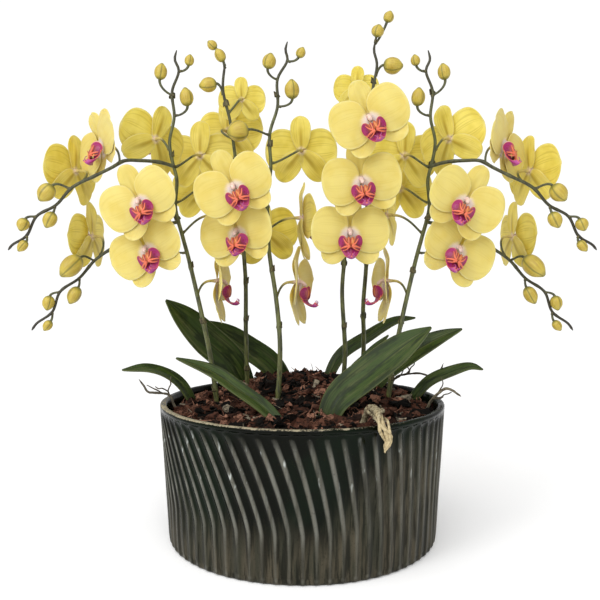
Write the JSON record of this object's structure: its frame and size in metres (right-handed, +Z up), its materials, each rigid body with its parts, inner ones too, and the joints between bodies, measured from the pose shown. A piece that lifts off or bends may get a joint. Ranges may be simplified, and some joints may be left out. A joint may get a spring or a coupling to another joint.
{
  "type": "potted orchid",
  "caption": "Moth orchids with arching spikes of pale yellow blooms, growing in bark in a broad, low, round pot with fine upright ribs.",
  "frame": {"origin": "centre of the pot's flat underside", "axes": "+Z up, the way the plant grows; -Y towards the front, the side most blooms face; +X to the right of someone looking at the front"},
  "size_m": [0.5834, 0.2897, 0.5332],
  "materials": {
    "pot_glaze": "gloss",
    "bark": "matte",
    "leaf": "satin",
    "root": "matte",
    "stem": "satin",
    "petal": "matte"
  },
  "bodies": {
    "root": {"pot": "pot_glaze", "potting_bark": "bark", "leaf_1": "leaf", "leaf_2": "leaf", "leaf_3": "leaf", "leaf_4": "leaf", "leaf_5": "leaf", "leaf_6": "leaf", "leaf_7": "leaf", "leaf_8": "leaf", "leaf_9": "leaf", "aerial_root_1": "root", "aerial_root_2": "root", "aerial_root_3": "root", "aerial_root_4": "root", "spike_1": "stem", "flower_1_1": "petal", "flower_1_2": "petal", "flower_1_3": "petal", "flower_1_4": "petal", "flower_1_5": "petal", "flower_1_6": "petal", "flower_1_7": "petal", "flower_1_8": "petal", "flower_1_9": "petal", "flower_1_10": "petal", "spike_2": "stem", "flower_2_1": "petal", "flower_2_2": "petal", "flower_2_3": "petal", "flower_2_4": "petal", "spike_3": "stem", "flower_3_1": "petal", "flower_3_2": "petal", "flower_3_3": "petal", "flower_3_4": "petal", "spike_4": "stem", "flower_4_1": "petal", "flower_4_2": "petal", "spike_5": "stem", "flower_5_1": "petal", "flower_5_2": "petal", "spike_6": "stem", "flower_6_1": "petal", "flower_6_2": "petal", "flower_6_3": "petal", "flower_6_4": "petal", "flower_6_5": "petal", "flower_6_6": "petal", "flower_6_7": "petal", "flower_6_8": "petal", "flower_6_9": "petal", "flower_6_10": "petal"}
  },
  "joints": []
}
